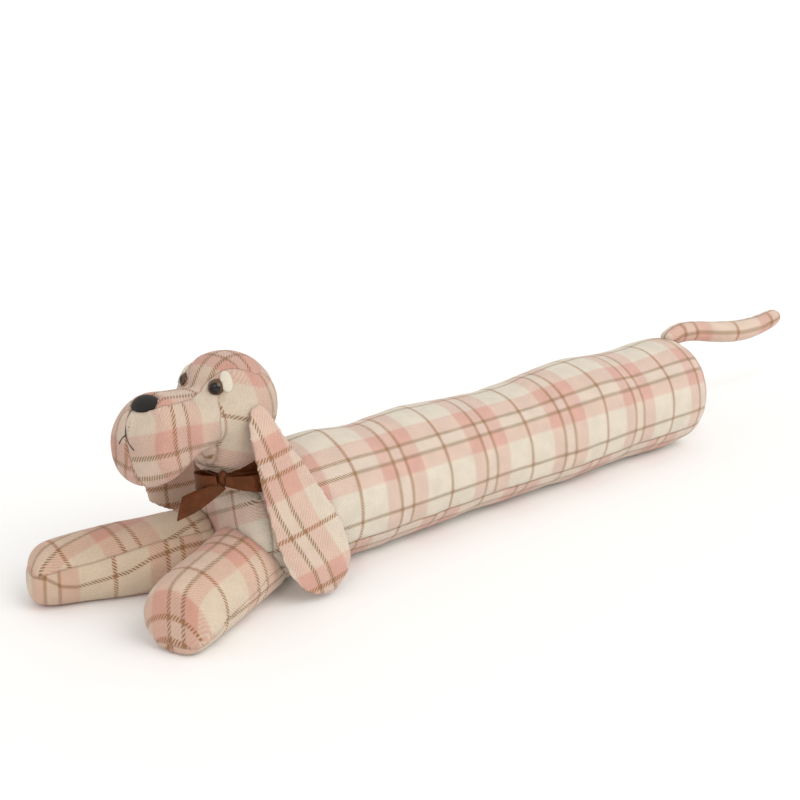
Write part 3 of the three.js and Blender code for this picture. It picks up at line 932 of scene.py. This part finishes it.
# How each stuffed piece is made, in millimetres. Voxel is the mesh's size, relax its smoothing
# rounds, inset how much smaller it starts, cap the most that the filling moves it, and fullness
# what it grows after that. Groove is the seams' depth. Pucker, lumps and waves are the cloth's
# unevenness, and fill is the share from slack to tight.
LEG_LOOK = {
    "voxel": 4.0, "relax": 3, "inset": 0.8, "cap": 2.4, "fullness": 1.4,
    "groove": 1.0, "pucker": 0.6, "lumps": 0.7, "waves": 0.8, "fill": 0.85,
}
EAR_LOOK = {
    "voxel": 2.6, "relax": 2, "inset": 0.6, "cap": 1.2, "fullness": 1.1,
    "groove": 0.5, "pucker": 0.15, "lumps": 0.9, "waves": 0.8, "fill": 0.15,
}
STUFFED = {
    "body_tube": {
        "voxel": 5.0, "relax": 4, "inset": 1.5, "cap": 2.0, "fullness": 2.2,
        "groove": 1.2, "pucker": 0.7, "lumps": 1.3, "waves": 3.0, "fill": 0.9,
    },
    "leg_left": LEG_LOOK,
    "leg_right": {**LEG_LOOK, "fullness": 3.2, "full_from": (-560, -470)},
    "tail": {
        "voxel": 2.5, "relax": 3, "inset": 0.6, "cap": 0.9, "fullness": 4.4,
        "groove": 0.5, "pucker": 0.4, "lumps": 0.5, "waves": 0.5, "fill": 0.5,
    },
    "ear_left": EAR_LOOK,
    "ear_right": {**EAR_LOOK, "fullness": 1.6, "hang": (-6, 0, -3)},
    "head": {
        "voxel": 3.4, "relax": 3, "inset": 0.2, "cap": 2.4, "fullness": 1.6,
        "groove": 0.9, "pucker": 0.5, "lumps": 0.6, "waves": 0.6, "fill": 0.85,
    },
}
# Each piece's cloth, its number of panels, its nap and its tint. The tint is painted shade: it
# darkens and warms the cloth on the legs, head, ears and tail, the far leg most.
CLOTHS = {
    "body_tube": (body_cloth, 3, 0.7, (0.97, 0.96, 0.97)),
    "leg_left": (leg_cloth(LEFT_LEG), 2, 0.8, (0.93, 0.83, 0.77)),
    "leg_right": (leg_cloth(RIGHT_LEG), 2, 0.8, (0.90, 0.79, 0.72)),
    "tail": (tail_cloth, 2, 0.8, (0.98, 0.92, 0.90)),
    "ear_left": (ear_cloth(LEFT_EAR), 2, 0.9, (0.96, 0.90, 0.88)),
    "ear_right": (ear_cloth(RIGHT_EAR), 2, 0.9, (0.96, 0.90, 0.88)),
    "head": (head_cloth, 4, 1.3, (0.95, 0.86, 0.82)),
}


NOSE_LOOK = {"voxel": 1.4, "relax": 3, "flat_from": 26, "above": 0.95, "below": 0.45, "fill": 0.8}
PETAL_LOOK = {"voxel": 0.9, "relax": 2, "fill": 0.4}
KNOT_LOOK = {"voxel": 0.9, "relax": 2}
# The far eye is sunk a little deeper into the head, in millimetres.
EYES = ((1, "left", 0), (-1, "right", 4.5))
RIBBON_SEED = 20


def build():
    camera()
    lights()
    floor()
    check = check_group()
    made = {}
    for seed, (node, look) in enumerate(STUFFED.items()):
        cloth, panels, nap, tint = CLOTHS[node]
        made[node] = stuffed(node, "sewn_" + node, cloth, look, seed)
        check_cloth = check_material("check_" + node, check, panels, nap, tint)
        made[node].data.materials.append(check_cloth)
    plush = pile_material("black_plush", PLUSH_BLACK, PLUSH_SHADE, 0.9, 1500, 0.0008, 0.06)
    petal = pile_material("cream_cloth", CREAM, CREAM_SHADE, 0.92, 900, 0.0005, 0.2)
    trim("nose", "plush_nose", NOSE_LOOK, plush)
    bead = eye_material()
    for side, name, sunk in EYES:
        eye("eye_" + name, "bead_eye_" + name, side, sunk, bead)
        trim("eyelid_" + name, "cloth_eyelid_" + name, PETAL_LOOK, petal)
    satin = satin_material()
    for seed, (node, look) in enumerate(RIBBON.items()):
        ribbon_piece(node, look, seed + RIBBON_SEED, satin)
    trim("ribbon_knot", "satin_knot", KNOT_LOOK, satin)
    surface = BVHTree.FromObject(made["head"], bpy.context.evaluated_depsgraph_get())
    thread = pile_material("black_thread", THREAD_BLACK, PLUSH_BLACK, 0.7, 3000, 0.0001, 0.1)
    for name, path in MOUTH_LINES.items():
        mouth_thread(name, path, surface, thread)
    bpy.context.scene.view_settings.view_transform = "Standard"


build()
bpy.context.view_layer.update()
